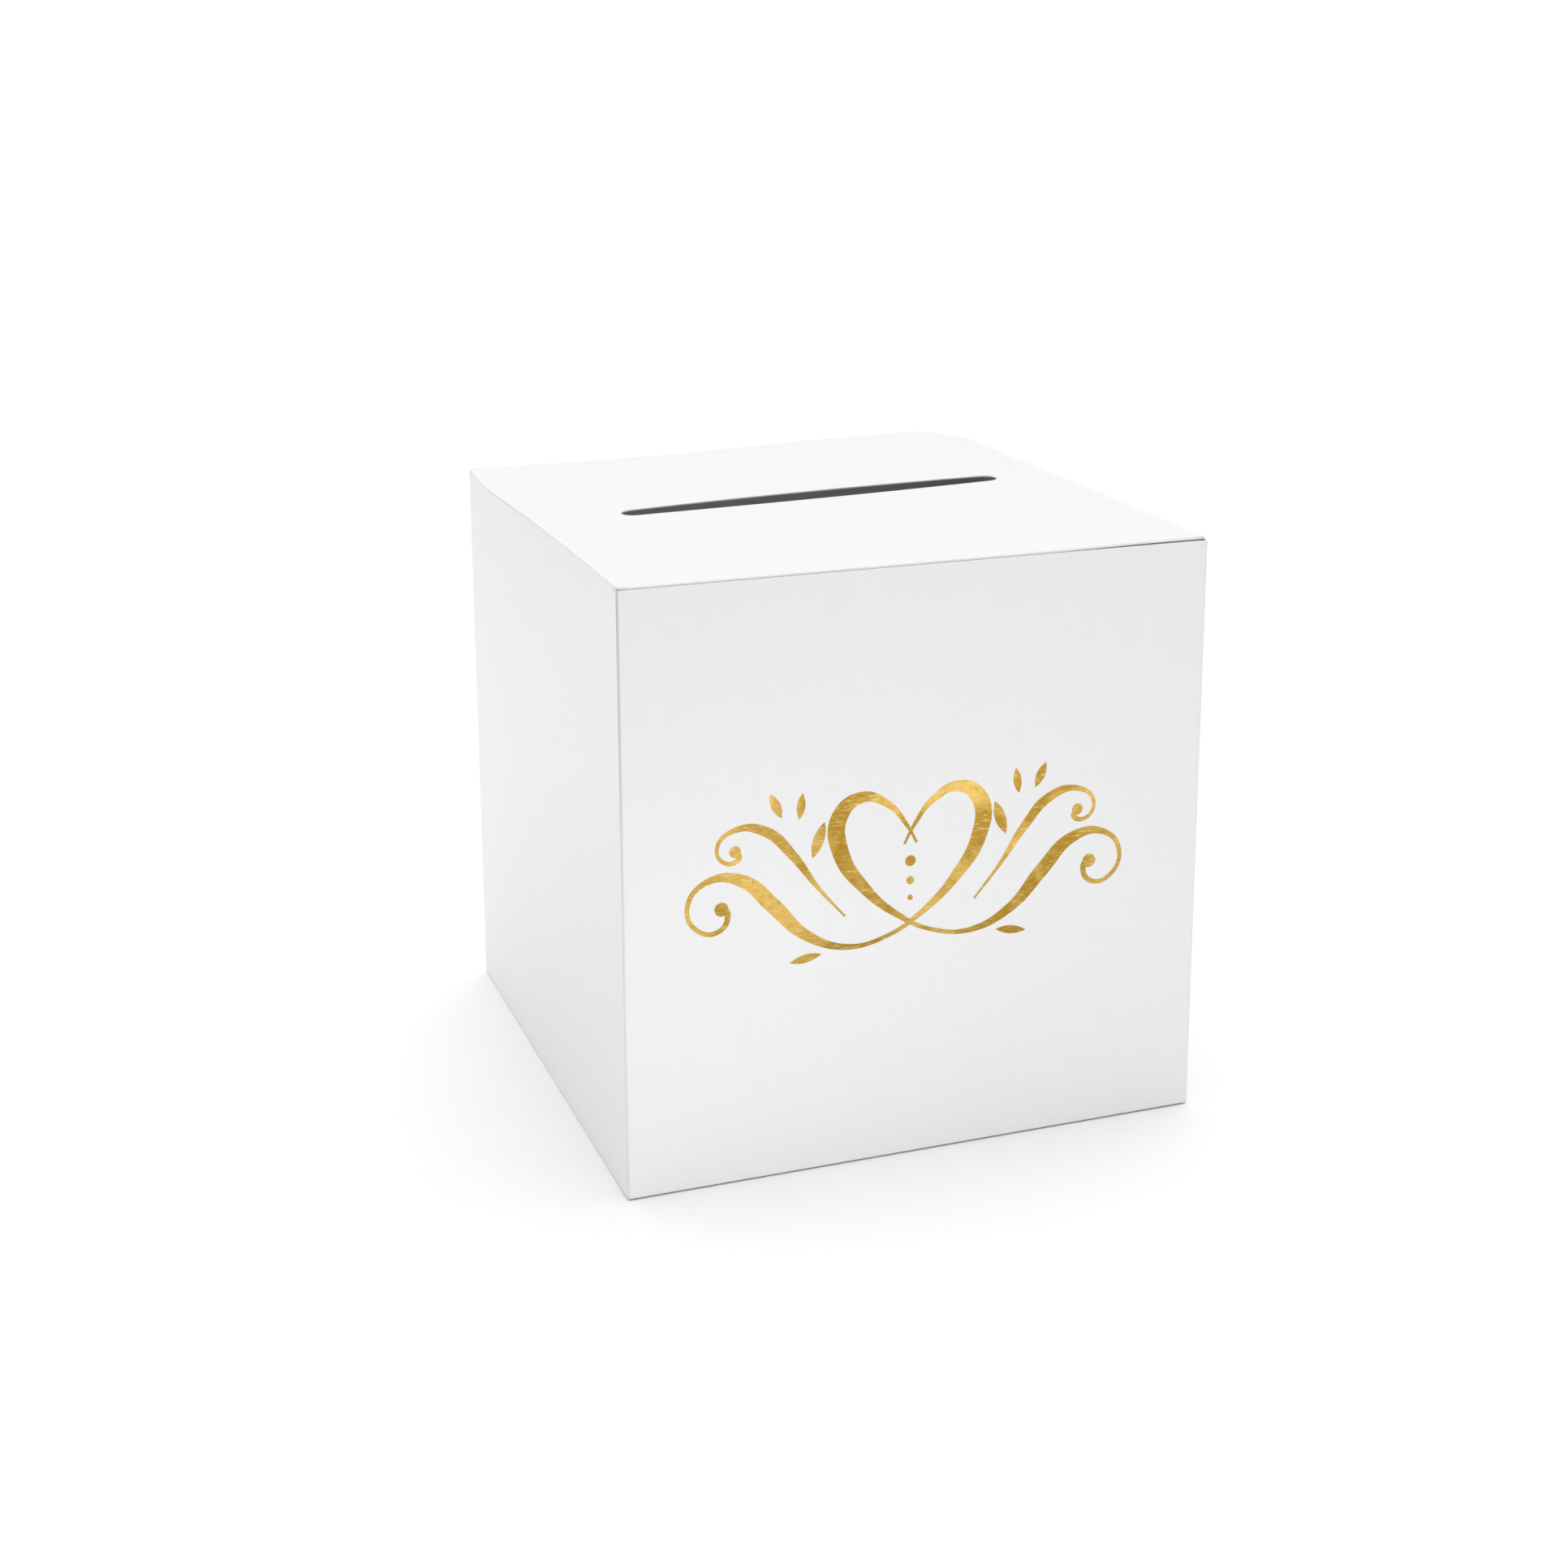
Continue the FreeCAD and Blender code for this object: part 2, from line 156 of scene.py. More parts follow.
# White folding boxboard, clay coated and calendered: bright, silky, with a faint cloudy formation.
def makeCoatedBoard(name="coated_boxboard_calendered", crease=False):
    material, tree, shader = newMaterial(name, {"IOR": 1.5, "Roughness": 0.5})
    coords = objectCoords(tree)
    cloud = noise(tree, coords, 7, 3)
    colour = mixColour(tree, spread(tree, cloud, 0, 1), "#EDEDED", "#EEEEEE")
    if crease:  # painted shade: the creases are painted greyer where shade falls in the bend and where the bottom creases meet the table, broken up by a fine noise
        paintedShade = addNode(tree, "ShaderNodeAttribute", {"attribute_name": "paintedShade"}).outputs["Fac"]
        shadeGrain = spread(tree, noise(tree, coords, 0.5, 4), 0.75, 1)
        amount = addNode(tree, "ShaderNodeMath", {"operation": "MULTIPLY"}, {0: paintedShade, 1: shadeGrain})
        colour = mixColour(tree, amount.outputs[0], colour, "#8E8E8F")
    tree.links.new(colour, shader.inputs["Base Color"])
    fine = noise(tree, coords, 0.8, 2)  # coating grain, drawn coarser than the real 0.1 mm so that it shows
    tree.links.new(spread(tree, fine, 0.46, 0.56), shader.inputs["Roughness"])
    waves = bump(tree, cloud, 0.004)
    tree.links.new(bump(tree, fine, 0.003, waves), shader.inputs["Normal"])
    return material


# The uncoated back of the same board: matt, a little creamier, with loose fibres showing.
def makeBoardBack():
    material, tree, shader = newMaterial("boxboard_uncoated_back", {"IOR": 1.46, "Roughness": 0.85})
    coords = objectCoords(tree)
    turned = addNode(tree, "ShaderNodeMapping", {"Scale": (1, 0.35, 1), "Rotation": (0.4, 0.2, 0.6)},
                     {"Vector": coords}).outputs["Vector"]
    fibres = noise(tree, turned, 0.9, 5, 0.65)
    cloud = noise(tree, coords, 9, 3)
    base = mixColour(tree, spread(tree, cloud, 0, 1), "#DCDCDA", "#E4E4E2")
    colour = mixColour(tree, spread(tree, fibres, 0, 0.55, 0.55, 0.75), base, "#CDCCC8")
    tree.links.new(colour, shader.inputs["Base Color"])
    tree.links.new(bump(tree, fibres, 0.03), shader.inputs["Normal"])
    return material


# The die-cut edge of the board: bare pulp between the two faces, slightly torn, painted lighter than the
# coated face as painted light that offsets the shade on its thin faces.
def makeCutEdge():
    material, tree, shader = newMaterial("boxboard_die_cut_edge", {"IOR": 1.46, "Roughness": 0.9})
    coords = objectCoords(tree)
    pulp = noise(tree, coords, 0.35, 4, 0.6)
    # painted light: the pulp is painted lighter than the coated board
    colour = mixColour(tree, spread(tree, pulp, 0, 1), "#F2F2F0", "#FAFAF9")
    tree.links.new(colour, shader.inputs["Base Color"])
    tree.links.new(bump(tree, pulp, 0.04), shader.inputs["Normal"])
    return material


# Gold hot-stamping foil: a metal film pressed into the coating, crinkled and lightly scuffed. Its colour
# holds painted reflections: broad lighter and darker patches, painted shade in the crinkles and painted
# glints on the scuffs.
def makeGoldFoil():
    material, tree, shader = newMaterial("gold_foil_hot_stamped", {"Metallic": 1, "Roughness": 0.3})
    coords = objectCoords(tree)
    reflectionPatches = noise(tree, coords, 22, 2)
    crinkleAndShade = noise(tree, coords, 2.6, 5, 0.65)
    brushed = addNode(tree, "ShaderNodeMapping", {"Scale": (0.16, 1, 1), "Rotation": (0, 0.12, 0)},
                      {"Vector": coords}).outputs["Vector"]
    scuffsAndGlints = noise(tree, brushed, 0.5, 5, 0.65)
    # painted reflection: the gold is painted lighter and darker in broad patches
    paintedReflection = mixColour(tree, spread(tree, reflectionPatches, 0, 1, 0.4, 0.62), "#9D7B2B", "#C9A657")
    # painted shade: the crinkles are painted darker
    paintedDentShade = mixColour(tree, spread(tree, crinkleAndShade, 0, 0.4, 0.55, 0.72), paintedReflection, "#846520")
    # painted highlight: the scuffs are painted as pale glints
    colour = mixColour(tree, spread(tree, scuffsAndGlints, 0, 0.55, 0.53, 0.7), paintedDentShade, "#E6D3A0")
    tree.links.new(colour, shader.inputs["Base Color"])
    tree.links.new(spread(tree, crinkleAndShade, 0.24, 0.42), shader.inputs["Roughness"])
    dents = bump(tree, crinkleAndShade, 0.05)
    tree.links.new(bump(tree, scuffsAndGlints, 0.008, dents), shader.inputs["Normal"])
    return material


# White carton glue, rolled on in one band and dried: glossy, slightly yellow, uneven.
def makeGlue():
    material, tree, shader = newMaterial("carton_glue_dried", {"IOR": 1.47, "Roughness": 0.35})
    coords = objectCoords(tree)
    streaks = noise(tree, coords, 3, 3)
    colour = mixColour(tree, spread(tree, streaks, 0, 1), "#E2DCC6", "#EFEBDC")
    tree.links.new(colour, shader.inputs["Base Color"])
    tree.links.new(bump(tree, streaks, 0.02), shader.inputs["Normal"])
    return material


coatedBoard = makeCoatedBoard()
# the board for the crease strips, with painted shade along its creases
creaseShadeBoard = makeCoatedBoard("coated_boxboard_crease_shade_painted", crease=True)
boardBack = makeBoardBack()
cutEdge = makeCutEdge()
goldFoil = makeGoldFoil()
gluePaste = makeGlue()
print("materials made")


lidShape = {
    "ridge": 4.6,  # height of the rise where the right dust flap springs back under the lid
    "ridgeRear": 5.8,  # and what it grows to at the hinge crease
    "ridgeInset": 27.0,
    "ridgeEdge": 0.12,  # share of it that is left at the right edge
    "hingeRun": 8.0,  # the lid rolls up from its hinge crease over this length
    "hingeShare": 0.26,  # share of the rise that the crease itself takes
    "slopeCurve": 0.85,  # how quickly it rises from the left edge, and from the front
    "frontCurve": 1.1,
    "frontLift": 0.5,  # gap under the right half of the front edge
    "frontLiftStart": 45.0,
    "frontLiftRun": 55.0,
    "lipPart": 0.6,  # how far the rear lip of the slot stands up, and the front lip down
    "lipFade": 14.0,
    "sag": 2.6,  # how far the left edge sits down near its rear corner
    "sagReach": 34.0,
    "sagFade": 38.0,
    "edgeSetback": 0.4,  # its side edges stop where the creases below them are still flat
}
slot = {"length": 167.0, "width": 10.5, "arcSteps": 18, "tolerance": 0.001}


def smooth(t):
    t = min(max(t, 0.0), 1.0)
    return t * t * (3 - 2 * t)


def sag(x, y):
    # the left edge drops quickly from the rear corner and comes back slowly
    away = (half - y) / lidShape["sagReach"]
    return lidShape["sag"] * away * math.exp(1 - away) * math.exp(-(x + half) / lidShape["sagFade"])


def crown(x, y):
    # the lid's rise over its flat shape: a slope up to the ridge on the right, then down to the right edge
    ridgeX = half - lidShape["ridgeInset"]
    slope = min(max((x + half) / (ridgeX + half), 0.0), 1.0)
    rearShare = smooth(y / half)
    height = lidShape["ridge"] * slope ** lidShape["slopeCurve"] * (1 - rearShare)
    height += lidShape["ridgeRear"] * smooth(slope) * rearShare
    height *= 1 - (1 - lidShape["ridgeEdge"]) * smooth((x - ridgeX) / lidShape["ridgeInset"])
    hingeShare = lidShape["hingeShare"]
    height *= hingeShare + (1 - hingeShare) * smooth((side - y) / lidShape["hingeRun"])
    front = min(max((y + half) / half, 0.0), 1.0)
    gap = lidShape["frontLift"] * smooth((x - lidShape["frontLiftStart"]) / lidShape["frontLiftRun"])
    return height * math.sin(front * math.pi / 2) ** lidShape["frontCurve"] + gap * (1 - front) ** 2


def lips(x, y):
    inside = max(0.0, 1 - (2 * x / slot["length"]) ** 2)
    beyond = max(0.0, abs(y) - slot["width"] / 2)
    return math.copysign(lidShape["lipPart"], y) * inside * math.exp(-((beyond / lidShape["lipFade"]) ** 2))


def lidHeight(x, y):
    return crown(x, y) + lips(x, y) - sag(x, y)


def creaseRise(co):
    return upWay * crown(co.x, side)


wallBow = {"front": 0.25, "back": 0.5, "left": 0.45, "right": 0.35}


def bowed(amount, wide, tall):
    # a panel bellies out between its creases
    def lift(x, y):
        return amount * math.cos(math.pi * x / wide) * math.sin(math.pi * y / tall)
    return lift


def finishPiece(name, bm, materials, body, nodes, smoothFaces=True):
    bmesh.ops.remove_doubles(bm, verts=bm.verts, dist=1e-7)
    for face in bm.faces:
        face.smooth = smoothFaces
    mesh = bpy.data.meshes.new(name)
    bm.to_mesh(mesh)
    bm.free()
    piece = bpy.data.objects.new(name, mesh)
    bpy.context.collection.objects.link(piece)
    for material in materials:
        mesh.materials.append(material)
    if body:
        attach(piece, body)
    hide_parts(*nodes)
    return piece


def giveThickness(piece, rounded=True):
    solid = piece.modifiers.new("board", "SOLIDIFY")
    solid.thickness = board["thickness"] * mm
    solid.offset = -1
    solid.material_offset = 1
    solid.material_offset_rim = 2
    if rounded:
        bevel = piece.modifiers.new("burr", "BEVEL")
        bevel.width = board["edgeRound"] * mm
        bevel.segments = board["edgeSegments"]
        bevel.limit_method = "ANGLE"
        bevel.angle_limit = math.radians(board["edgeAngle"])
        bevel.harden_normals = True


def placed(origin, right, up):
    # a panel's own axes: x along its crease, y away from it, z out of its coated face
    right, up = Vector(right), Vector(up)
    out = right.cross(up)
    matrix = Matrix((right, up, out)).transposed().to_4x4()
    matrix.translation = Vector(origin)
    return matrix


def outline(corners, rounded=None):
    # one flat face from its corners, with some of them rounded; rounded maps corner number to radius
    bm = bmesh.new()
    verts = [bm.verts.new((x, y, 0)) for x, y in corners]
    bm.faces.new(verts)
    for number, size in (rounded or {}).items():
        corner = verts[number]
        a, b = [(e.other_vert(corner).co - corner.co).normalized() for e in corner.link_edges]
        setback = size / math.tan(a.angle(b) / 2)
        bmesh.ops.bevel(bm, geom=[corner], offset=setback, segments=board["cornerSegments"], profile=0.5,
                        affect="VERTICES", material=-1)
    return bm


def gridCut(bm, step):
    # rules the sheet into cells, so that it can bend
    for axis in (0, 1):
        low = min(v.co[axis] for v in bm.verts)
        high = max(v.co[axis] for v in bm.verts)
        count = max(1, round((high - low) / step))
        for i in range(1, count):
            spot, normal = Vector(), Vector()
            spot[axis] = low + (high - low) * i / count
            normal[axis] = 1
            bmesh.ops.bisect_plane(bm, geom=bm.verts[:] + bm.edges[:] + bm.faces[:], dist=1e-4,
                                   plane_co=spot, plane_no=normal)


def symmetric(corners):
    return corners + [(-x, y) for x, y in reversed(corners)]


def boardPiece(name, bm, matrix, body, lift=None, rise=None, ruled=False):
    # lift bends the flat sheet, rise moves it up once it is in place; a ruled sheet already has its cells
    if not ruled:
        gridCut(bm, board["gridStep"])
    if lift:
        for vert in bm.verts:
            vert.co.z += lift(vert.co.x, vert.co.y)
    bmesh.ops.transform(bm, matrix=matrix, verts=bm.verts)
    if rise:
        for vert in bm.verts:
            vert.co.z += rise(vert.co.x, vert.co.y)
    bmesh.ops.scale(bm, vec=(mm, mm, mm), verts=bm.verts)
    piece = finishPiece(name + "_sheet", bm, (coatedBoard, boardBack, cutEdge), body, [name])
    giveThickness(piece)
    return piece


def wall(name, face, bow):
    low, high = [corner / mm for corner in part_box(name)]
    lowEdge, tall = low.z, high.z - low.z
    if face in ("front", "back"):
        right = rightWay if face == "front" else -rightWay
        middle = Vector(((low.x + high.x) / 2, low.y if face == "front" else high.y, lowEdge))
        wide = high.x - low.x
    else:
        right = -rearWay if face == "left" else rearWay
        middle = Vector((low.x if face == "left" else high.x, (low.y + high.y) / 2, lowEdge))
        wide = high.y - low.y
    bm = outline([(-wide / 2, 0), (wide / 2, 0), (wide / 2, tall), (-wide / 2, tall)])
    return boardPiece(name, bm, placed(middle, right, upWay), "carton", bowed(bow, wide, tall))


def upperShare(vert):
    # grows from 0 at half the box's height to 1 at its top edge
    return smooth((vert.co.z / mm - top / 2) / (top / 2))


walls = {face: wall(f"{face}_panel", face, bow) for face, bow in wallBow.items()}
for vert in walls["left"].data.vertices:  # its top edge sits down near the rear
    vert.co.z -= sag(-half, vert.co.y / mm) * upperShare(vert) * mm
for vert in walls["back"].data.vertices:  # and the back's follows the hinge crease up
    vert.co.z += crown(vert.co.x / mm, side) * upperShare(vert) * mm
print("walls made")


crease = {
    "steps": 8,
    "bead": 0.14,  # a creased board bulges along the fold and dips at both sides of it
    "alongStep": 8.0,
    "dustReach": 2.4,  # the creases of the dust flaps run on past the flaps
    "frontHead": 0.7,  # how far an upright crease runs on up into its corner
    "rearHead": 0.9,
    "endRows": (0.9, 0.7, 0.5, 0.3, 0.15, 0.05),  # depths of the finer rows where an end closes round
    "endTip": 0.01,
}
paintedCreaseShade = {  # how much painted shade the creases get, as shares from 0 to 1
    "plain": 0.05,
    "corner": 0.7,
    "cornerFoot": 0.35,  # share of it left near the foot
    "cornerStart": 0.25,  # share of the height where it begins to grow
    "cornerEdge": 0.3,  # share of the bend that it takes to reach its full depth
    "cornerLoss": 0.8,  # and what it loses again towards the front, over cornerLossRun
    "cornerLossRun": 0.8,
    "table": 0.9,
    "tableEnd": 0.6,
}


def crossSection(t):
    return math.sin(math.pi * t) ** 2


def foldPiece(name, centre, start, end, length, angle=90.0, body="carton", closedEnds=(), paintedShade=None,
              shift=None):
    # a strip of the board bent round a crease, from the start direction to the end direction
    centre, start, end = Vector(centre), Vector(start), Vector(end)
    axis = start.cross(end).normalized()
    bm = bmesh.new()
    count = max(1, round(length / crease["alongStep"]))
    ends = [bm.verts.new(centre + start * radius + axis * length * (s - 0.5)) for s in (0, 1)]
    line = bm.edges.new(ends)
    bmesh.ops.subdivide_edges(bm, edges=[line], cuts=count)
    for way in closedEnds:  # finer rows where an end closes to a round corner
        for depth in crease["endRows"]:
            spot = centre + axis * (length / 2 - depth) * way
            bmesh.ops.bisect_plane(bm, geom=bm.verts[:] + bm.edges[:], dist=1e-4,
                                   plane_co=spot, plane_no=axis)
    bmesh.ops.spin(bm, geom=bm.verts[:] + bm.edges[:], cent=centre, axis=axis,
                   angle=math.radians(angle), steps=crease["steps"], use_duplicate=False)
    paintedShadeLayer = bm.verts.layers.float.new("paintedShade")
    across = end - start * start.dot(end)
    across.normalize()
    for vert in bm.verts:
        reach = vert.co - centre
        along = reach.dot(axis)
        spoke = reach - axis * along
        turn = math.atan2(spoke.dot(across), spoke.dot(start)) / math.radians(angle)
        size = radius + crease["bead"] * crossSection(turn)
        for way in closedEnds:
            over = radius - (length / 2 - along * way)
            if over > 0:
                size *= math.sqrt(max(0.0, 1 - (over / radius) ** 2))
        vert.co = centre + axis * along + spoke.normalized() * max(size, crease["endTip"])
        # painted shade: a crease without its own pattern is painted a little greyer across the middle of
        # its bend
        vert[paintedShadeLayer] = paintedShade(turn, vert.co) if paintedShade else paintedCreaseShade["plain"] * crossSection(turn)
    bm.normal_update()
    bm.faces.ensure_lookup_table()
    probe = bm.faces[len(bm.faces) // 2]
    outward = probe.calc_center_median() - centre
    outward -= axis * outward.dot(axis)
    if probe.normal.dot(outward) < 0:
        bmesh.ops.reverse_faces(bm, faces=bm.faces[:])
    if shift:
        for vert in bm.verts:
            vert.co += shift(vert.co)
    bmesh.ops.scale(bm, vec=(mm, mm, mm), verts=bm.verts)
    piece = finishPiece(name + "_strip", bm, (creaseShadeBoard, boardBack, cutEdge), body, [name])
    giveThickness(piece, rounded=False)
    return piece


def cornerPaintedShade(turn, co):
    # painted shade: the crease beside the design is painted darkest near its top, along its side edge
    start, edge = paintedCreaseShade["cornerStart"], paintedCreaseShade["cornerEdge"]
    rise = smooth((co.z - start * top) / ((1 - start) * top))
    fade = paintedCreaseShade["cornerFoot"] + (1 - paintedCreaseShade["cornerFoot"]) * rise
    loss = paintedCreaseShade["cornerLoss"] * smooth((turn - edge) / paintedCreaseShade["cornerLossRun"])
    return paintedCreaseShade["corner"] * fade * smooth(turn / edge) * (1 - loss)


stand = {"frontGap": 0.6, "sideGap": 0.15, "reach": 30.0}  # the creases of the bottom stand off the table


def tableGap(x, y):
    # the layered bottom bellies down, so the box stands on its middle and the front crease lifts the most
    front = stand["frontGap"] * (1 - smooth((y + half) / stand["reach"]))
    edge = min(half - abs(x), half - abs(y))
    return max(front, stand["sideGap"] * (1 - smooth(edge / stand["reach"])))


def footShift(co):
    return upWay * tableGap(co.x, co.y) * max(0.0, 1 - co.z / radius)


def paintedContactShadow(turn, co):
    # painted contact shadow: the underside of a bottom crease is painted dark where it meets the table
    return paintedCreaseShade["table"] * (1 - smooth(turn / paintedCreaseShade["tableEnd"]))


def dustShift(co):
    # the left crease follows the lid's left edge down, and its crest is pressed up against the lid
    return upWay * (dust["press"] * smooth((co.z - top + 2 * radius) / radius) - sag(-half, co.y))


def makeUprightFolds():
    for name, x, y, start, end, head in (
        ("front_left_fold", -side, -side, -rightWay, -rearWay, crease["frontHead"]),
        ("front_right_fold", side, -side, -rearWay, rightWay, crease["frontHead"]),
        ("rear_left_fold", -side, side, rearWay, -rightWay, crease["rearHead"]),
    ):
        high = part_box(name)[1].z / mm + head
        # only the front-left crease gets painted shade down its side
        paintedShade = cornerPaintedShade if name == "front_left_fold" else None
        foldPiece(name, (x, y, high / 2), start, end, high, closedEnds=(-1, 1), paintedShade=paintedShade,
                  shift=footShift)
    low, high = [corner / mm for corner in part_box("seam_fold")]
    foldPiece("seam_fold", (low.x, side, (low.z + high.z) / 2), rightWay, rearWay, high.z - low.z)


def makeBottomFolds():
    for name, x, y, start, end in (
        ("front_bottom_fold", 0, -side, -upWay, -rearWay),
        ("rear_bottom_fold", 0, side, -upWay, rearWay),
        ("left_bottom_fold", -side, 0, -upWay, -rightWay),
        ("right_bottom_fold", side, 0, -upWay, rightWay),
    ):
        # the bottom creases get a painted contact shadow underneath
        foldPiece(name, (x, y, radius), start, end, 2 * side, paintedShade=paintedContactShadow, shift=footShift)


def makeMovingFolds():
    hinge = foldPiece("lid_fold", (0, side, top - radius), rearWay, upWay, 2 * side, body=None,
                      shift=creaseRise)
    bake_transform(hinge)
    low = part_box("tuck_fold")[0] / mm
    centreY = low.y + radius
    reach = side - lidShape["edgeSetback"] / 2
    lean = math.radians(tuck["lean"])
    down = Vector((0, -math.cos(lean), -math.sin(lean)))
    front = foldPiece("tuck_fold", (0, centreY, top - radius), upWay, down, 2 * reach,
                      angle=90 + tuck["lean"], body=None, shift=lambda co: upWay * crown(co.x, centreY))
    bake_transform(front)
    for name, sign in (("left_dust", -1), ("right_dust", 1)):
        low, high = [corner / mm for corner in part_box(f"{name}_fold")]
        centre = (sign * side, 0, low.z)
        length = high.y - low.y + 2 * crease["dustReach"]
        strip = foldPiece(f"{name}_fold", centre, rightWay * sign, upWay, length, body=None,
                          shift=dustShift if sign < 0 else None)
        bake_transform(strip)


tuck = {"halfWidth": 117.5, "taper": 3.0, "length": 35.0, "corner": 14.0, "lean": 4.5, "curl": 1.2}
dust = {
    "press": 0.08,  # how far the left one and its crease are pressed up
    "springCurve": 1.3,
    "keep": 0.1,
    "neck": 6.0,
    "taper": 14.0,
    "length": 30.0,
    "corner": 6.0,
}


def cutSlot(bm):
    # cuts the slot's straight sides and then its round ends, and takes the waste out
    radiusOfEnd = slot["width"] / 2
    reach = slot["length"] / 2 - radiusOfEnd

    def nearSlot(face):
        spot = face.calc_center_median()
        inLength = abs(spot.x) < slot["length"] / 2 + slot["tolerance"]
        return inLength and abs(spot.y) < radiusOfEnd + slot["tolerance"]

    for spot, normal in (
        ((0, radiusOfEnd, 0), rearWay), ((0, -radiusOfEnd, 0), rearWay),
        ((reach, 0, 0), rightWay), ((-reach, 0, 0), rightWay),
        ((reach + radiusOfEnd, 0, 0), rightWay), ((-reach - radiusOfEnd, 0, 0), rightWay),
    ):
        bmesh.ops.bisect_plane(bm, geom=bm.verts[:] + bm.edges[:] + bm.faces[:], dist=1e-4,
                               plane_co=spot, plane_no=normal)
    for sign in (1, -1):
        centre = Vector((sign * reach, 0, 0))
        angles = [math.pi * (i / slot["arcSteps"] - 0.5) for i in range(slot["arcSteps"] + 1)]
        points = [centre + Vector((sign * math.cos(a), math.sin(a), 0)) * radiusOfEnd for a in angles]
        for a, b in zip(points, points[1:]):
            inEnd = [f for f in bm.faces if nearSlot(f) and f.calc_center_median().x * sign > reach]
            geom = list({v for f in inEnd for v in f.verts} | {e for f in inEnd for e in f.edges}) + inEnd
            bmesh.ops.bisect_plane(bm, geom=geom, dist=1e-5, plane_co=a, plane_no=(b - a).cross(upWay))
    waste = []
    for face in bm.faces:
        spot = face.calc_center_median()
        past = Vector((max(0.0, abs(spot.x) - reach), spot.y))
        if nearSlot(face) and past.length < radiusOfEnd * math.cos(math.pi / 2 / slot["arcSteps"]):
            waste.append(face)
    bmesh.ops.delete(bm, geom=waste, context="FACES")


def makeLid():
    low, high = [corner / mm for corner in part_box("lid_panel")]
    low.x += lidShape["edgeSetback"]
    high.x -= lidShape["edgeSetback"]
    bm = outline([(low.x, low.y), (high.x, low.y), (high.x, high.y), (low.x, high.y)])
    gridCut(bm, board["lidGridStep"])
    cutSlot(bm)
    boardPiece("lid_panel", bm, placed((0, 0, top), rightWay, rearWay), "lid", lidHeight, ruled=True)


def makeTuckFlap():
    lean = math.radians(tuck["lean"])
    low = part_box("tuck_fold")[0] / mm
    centreY = low.y + radius
    origin = (0, centreY - radius * math.cos(lean), top - radius - radius * math.sin(lean))
    away = (0, math.sin(lean), -math.cos(lean))
    tip = (tuck["halfWidth"] - tuck["taper"], tuck["length"])
    bm = outline(symmetric([(tuck["halfWidth"], 0), tip]), {1: tuck["corner"], 2: tuck["corner"]})

    def curl(x, y):
        return -tuck["curl"] * (y / tuck["length"]) ** 2

    boardPiece("tuck_flap", bm, placed(origin, -rightWay, away), "tuck", curl)


def makeDustFlaps():
    for name, sign in (("left", -1), ("right", 1)):
        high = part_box(f"{name}_dust_fold")[1] / mm
        wide = high.y
        corners = [
            (wide, 0),
            (wide - dust["neck"], dust["neck"]),
            (wide - dust["taper"], dust["length"]),
        ]
        bm = outline(symmetric(corners), {2: dust["corner"], 3: dust["corner"]})

        def spring(x, y, sign=sign):
            # the free edge springs up to meet the lid, and the left one follows its wall's top edge down
            lidY = x * sign
            lifted = crown(sign * (side - dust["length"]), lidY)
            lifted *= (y / dust["length"]) ** dust["springCurve"]
            return lifted + (dust["press"] - sag(y - side, lidY) if sign < 0 else 0)

        matrix = placed((sign * side, 0, high.z), rearWay * sign, -rightWay * sign)
        flap = boardPiece(f"{name}_dust_flap", bm, matrix, f"{name}_dust", spring)
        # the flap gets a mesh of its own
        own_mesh(flap)


bottom = {
    "layer": 0.6,
    "creaseHalf": 116.6,
    "front": {
        "shoulder": (98.1, 29.1),
        "reach": 99.0,
        "tongue": 44.0,
        "ramp": 16.0,
        "end": 145.0,
        "corner": 10.0,
    },
    "rear": {"end": (98.6, 149.0), "lock": (50.0, 114.0), "ramp": 30.0},
    "side": {"half": 89.0, "end": (65.0, 65.0), "ramp": 20.0},
}
seam = {
    "half": 113.1,
    "taper": 6.0,
    "width": 16.0,
    "glueCorner": 3.0,
    "glueGrid": 6.0,
    "wander": 0.5,  # how far the edge of the glue wanders
    "wanderRate": 0.21,
    "wanderBeat": 0.043,
}


def ramp(start, run, layers):
    def lift(x, y):
        return -smooth((y - start) / run) * layers * bottom["layer"]
    return lift


def makeBottomFlaps():
    front, rear, flank = bottom["front"], bottom["rear"], bottom["side"]
    corners = [
        (bottom["creaseHalf"], 0),
        front["shoulder"],
        (front["shoulder"][0], front["reach"]),
        (front["tongue"], front["reach"]),
        (front["tongue"], front["end"]),
    ]
    bm = outline(symmetric(corners), {4: front["corner"], 5: front["corner"]})
    boardPiece("front_bottom_flap", bm, placed((0, -side, 0), -rightWay, rearWay), "carton",
               ramp(front["reach"], front["ramp"], 3), rise=tableGap)
    corners = [
        (bottom["creaseHalf"], 0),
        rear["end"],
        (rear["lock"][0], rear["end"][1]),
        rear["lock"],
    ]
    bm = outline(symmetric(corners))
    boardPiece("rear_bottom_flap", bm, placed((0, side, 0), rightWay, -rearWay), "carton",
               ramp(0, rear["ramp"], 2), rise=tableGap)
    for name, sign in (("left", -1), ("right", 1)):
        bm = outline(symmetric([(flank["half"], 0), flank["end"]]))
        matrix = placed((sign * side, 0, 0), -rearWay * sign, -rightWay * sign)
        boardPiece(f"{name}_bottom_flap", bm, matrix, "carton", ramp(0, flank["ramp"], 1), rise=tableGap)


